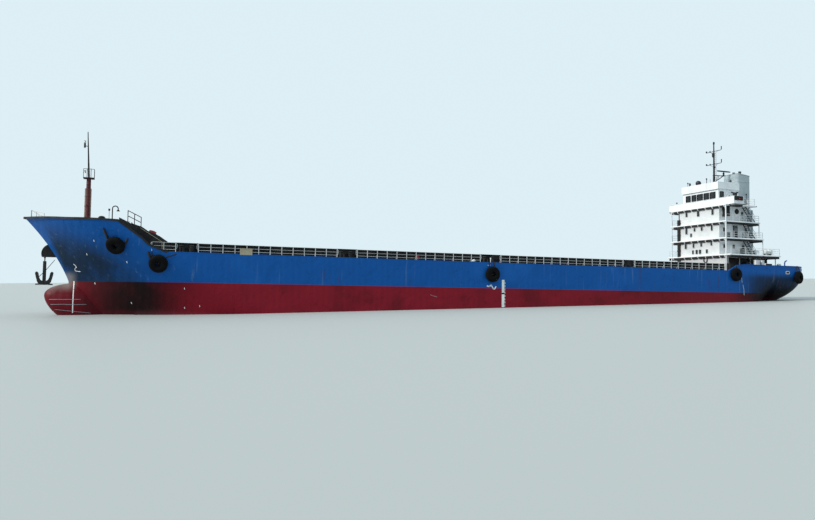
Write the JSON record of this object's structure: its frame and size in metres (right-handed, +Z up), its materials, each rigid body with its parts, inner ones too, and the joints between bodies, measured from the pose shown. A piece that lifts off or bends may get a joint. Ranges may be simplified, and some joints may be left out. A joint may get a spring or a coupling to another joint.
{
  "type": "container vessel, 1:10 scale model",
  "caption": "Coastal container ship with open holds between a raised forecastle with bulbous bow and an after deckhouse with wheelhouse and funnel, afloat in ballast.",
  "frame": {"origin": "amidships on the centreline, at the height of the floating waterline", "axes": "+X forward, +Y to port, +Z up; the keel is level"},
  "size_m": [10.9057, 1.7348, 2.95],
  "materials": {
    "hull_paint": "satin, weathered",
    "hold_paint": "matt",
    "black_paint": "matt",
    "white_paint": "satin",
    "red_paint": "matt",
    "beige_paint": "satin",
    "tyre_rubber": "matt",
    "bronze": "polished",
    "machinery_grey": "satin",
    "orange_boat": "gloss"
  },
  "bodies": {
    "ship": {"anchor": "black_paint", "anchor_pod": "black_paint", "bridge_console": "machinery_grey", "bridge_deck": "white_paint", "compass_deck": "white_paint", "davit_post": "white_paint", "deck_rail_port": "white_paint", "deck_rail_starboard": "white_paint", "forecastle": "hull_paint", "forecastle_bulwark": "hull_paint", "forecastle_rail": "black_paint", "forecastle_stair_port": "beige_paint", "forecastle_stair_starboard": "beige_paint", "foremast": "red_paint", "funnel": "white_paint", "gallery_deck_2": "white_paint", "gallery_deck_3": "white_paint", "gooseneck_vent": "black_paint", "hatch_coaming": "black_paint", "house_tier_1": "white_paint", "house_tier_2": "white_paint", "house_tier_3": "white_paint", "house_tier_4": "white_paint", "hull_bow": "hull_paint", "hull_cross_bulkhead": "hold_paint", "hull_double_bottom": "hull_paint", "hull_stern": "hull_paint", "hull_wing_port": "hull_paint", "hull_wing_starboard": "hull_paint", "liferaft_port": "white_paint", "liferaft_starboard": "white_paint", "main_engine": "machinery_grey", "mooring_winch": "black_paint", "poop_deck": "white_paint", "radar_mast": "black_paint", "rescue_boat": "orange_boat", "stern_bulwark": "hull_paint", "tyre_bow_lower_port": "tyre_rubber", "tyre_bow_lower_starboard": "tyre_rubber", "tyre_bow_upper_port": "tyre_rubber", "tyre_bow_upper_starboard": "tyre_rubber", "tyre_middle_port": "tyre_rubber", "tyre_middle_starboard": "tyre_rubber", "tyre_quarter_port": "tyre_rubber", "tyre_quarter_starboard": "tyre_rubber", "tyre_stern": "tyre_rubber", "wheelhouse": "white_paint", "windlass": "black_paint"},
    "propeller": {"propeller": "bronze"},
    "rudder": {"rudder": "red_paint"},
    "radar_scanner": {"radar_scanner": "black_paint"},
    "davit_arm": {"davit_arm": "white_paint"},
    "wheelhouse_door_port": {"wheelhouse_door_port": "white_paint"},
    "house_door_port": {"house_door_port": "white_paint"},
    "wheelhouse_door_starboard": {"wheelhouse_door_starboard": "white_paint"},
    "house_door_starboard": {"house_door_starboard": "white_paint"}
  },
  "joints": [
    {"name": "propeller_spin", "type": "hinge", "parent": "ship", "child": "propeller", "pos_m": [-4.695, 0, -0.15], "axis": [1, 0, 0], "continuous": true},
    {"name": "rudder_turn", "type": "hinge", "parent": "ship", "child": "rudder", "pos_m": [-4.91, 0, -0.15], "axis": [0, 0, 1], "range_deg": [-35, 35]},
    {"name": "radar_spin", "type": "hinge", "parent": "ship", "child": "radar_scanner", "pos_m": [-4.39, 0, 2.14], "axis": [0, 0, 1], "continuous": true},
    {"name": "davit_slew", "type": "hinge", "parent": "ship", "child": "davit_arm", "pos_m": [-4.22, -0.7, 0.66], "axis": [0, 0, 1], "range_deg": [0, 95]},
    {"name": "wheelhouse_door_port_swing", "type": "hinge", "parent": "ship", "child": "wheelhouse_door_port", "pos_m": [-4.06, 0.375, 1.6], "axis": [0, 0, -1], "range_deg": [0, 100]},
    {"name": "house_door_port_swing", "type": "hinge", "parent": "ship", "child": "house_door_port", "pos_m": [-4.14, 0.42, 1.1], "axis": [0, 0, -1], "range_deg": [0, 100]},
    {"name": "wheelhouse_door_starboard_swing", "type": "hinge", "parent": "ship", "child": "wheelhouse_door_starboard", "pos_m": [-4.06, -0.375, 1.6], "axis": [0, 0, 1], "range_deg": [0, 100]},
    {"name": "house_door_starboard_swing", "type": "hinge", "parent": "ship", "child": "house_door_starboard", "pos_m": [-4.14, -0.42, 1.1], "axis": [0, 0, 1], "range_deg": [0, 100]}
  ]
}
